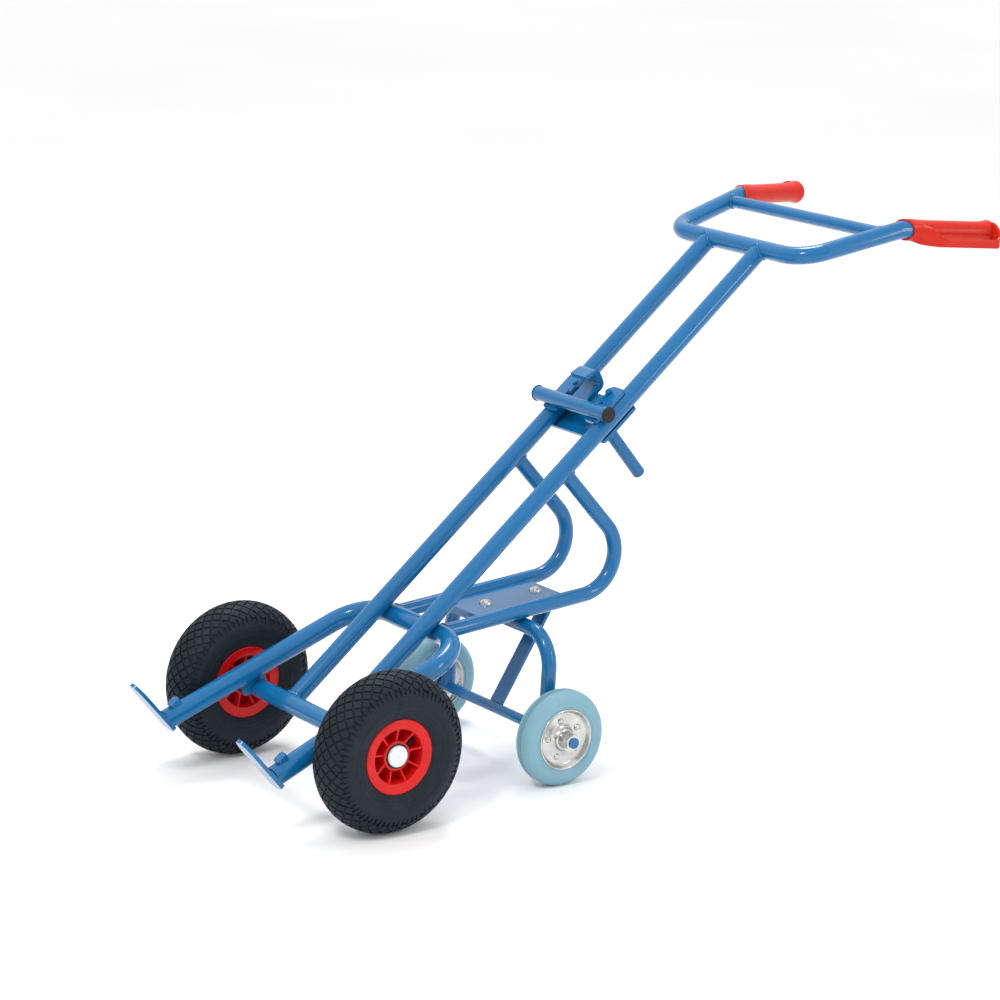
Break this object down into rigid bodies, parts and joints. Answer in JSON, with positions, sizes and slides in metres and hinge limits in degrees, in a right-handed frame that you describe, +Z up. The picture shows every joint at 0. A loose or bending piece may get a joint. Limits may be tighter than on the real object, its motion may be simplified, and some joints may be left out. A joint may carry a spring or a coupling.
{
  "type": "drum hand truck",
  "caption": "Leaned tubular hand truck for steel drums: pneumatic main wheels, solid-tyred support wheels, sliding drum hook, curved toe plates and guarded grips.",
  "frame": {"origin": "middle of the bounding box on the floor that all four wheels stand on", "axes": "+X to the operator's left along the wheel axles, +Y from the toe plates towards the grips, +Z up"},
  "size_m": [0.5838, 1.427, 0.8861],
  "materials": {
    "frame_blue": "glossy brilliant blue powder coat",
    "grip_red": "smooth orange-red moulded plastic",
    "rim_red": "glossy orange-red moulded plastic",
    "tyre_black": "blue-black rubber with block tread",
    "tube_rubber": "butyl rubber",
    "valve_rubber": "rubber-covered valve stem",
    "seal_black": "black dust seal over a steel bearing",
    "cap_white": "pale push-on cap",
    "tyre_grey": "light blue-grey solid rubber",
    "zinc": "bright zinc plate",
    "plug_black": "black plastic end plug"
  },
  "bodies": {
    "frame": {"handle_tube": "frame_blue", "handle_brace": "frame_blue", "grip_left": "grip_red", "grip_right": "grip_red", "axle_tube": "frame_blue", "upright_left": "frame_blue", "upright_right": "frame_blue", "toe_tube": "frame_blue", "toe_plate_left": "frame_blue", "toe_plate_right": "frame_blue", "drum_stop_left": "frame_blue", "drum_stop_right": "frame_blue", "axle_gusset_left": "frame_blue", "axle_gusset_right": "frame_blue", "skid_loop_left": "frame_blue", "skid_loop_right": "frame_blue", "mounting_plate": "frame_blue", "support_plate": "frame_blue", "plate_bolts": "zinc", "plate_washers": "zinc", "plate_nuts": "zinc", "support_axle": "frame_blue", "support_arch": "frame_blue", "support_strut": "frame_blue", "main_spacer_left": "zinc", "main_spacer_right": "zinc", "axle_rod": "zinc", "axle_cap_left": "cap_white", "axle_cap_right": "cap_white", "support_collar_left": "zinc", "support_collar_right": "zinc", "support_washer_left": "zinc", "support_washer_right": "zinc", "support_nut_left": "zinc", "support_nut_right": "zinc"},
    "main_wheel_left": {"main_tyre_left": "tyre_black", "main_inner_tube_left": "tube_rubber", "main_rim_left": "rim_red", "main_bearings_left": "seal_black", "main_valve_left": "valve_rubber"},
    "main_wheel_right": {"main_tyre_right": "tyre_black", "main_inner_tube_right": "tube_rubber", "main_rim_right": "rim_red", "main_bearings_right": "seal_black", "main_valve_right": "valve_rubber"},
    "support_wheel_left": {"support_tyre_left": "tyre_grey", "support_rim_left": "zinc", "support_hub_left": "zinc"},
    "support_wheel_right": {"support_tyre_right": "tyre_grey", "support_rim_right": "zinc", "support_hub_right": "zinc"},
    "hook_carriage": {"hook_back_plate": "frame_blue", "hook_straps": "frame_blue", "hook_cross_tube": "frame_blue", "cross_tube_plugs": "plug_black", "lever_tube": "frame_blue", "lever_plug": "plug_black", "hook": "frame_blue", "clamp_bolts": "frame_blue", "clamp_nuts": "frame_blue"}
  },
  "joints": [
    {"name": "main_wheel_left_spin", "type": "hinge", "parent": "frame", "child": "main_wheel_left", "pos_m": [0.2255, -0.47888, 0.13], "axis": [1, 0, 0], "continuous": true},
    {"name": "support_wheel_left_spin", "type": "hinge", "parent": "frame", "child": "support_wheel_left", "pos_m": [0.1815, -0.11538, 0.08], "axis": [1, 0, 0], "continuous": true},
    {"name": "main_wheel_right_spin", "type": "hinge", "parent": "frame", "child": "main_wheel_right", "pos_m": [-0.2255, -0.47888, 0.13], "axis": [1, 0, 0], "continuous": true},
    {"name": "support_wheel_right_spin", "type": "hinge", "parent": "frame", "child": "support_wheel_right", "pos_m": [-0.1815, -0.11538, 0.08], "axis": [1, 0, 0], "continuous": true},
    {"name": "hook_slide", "type": "slide", "parent": "frame", "child": "hook_carriage", "axis": [0, 0.7667, 0.642], "range_m": [-0.06, 0.33]}
  ]
}
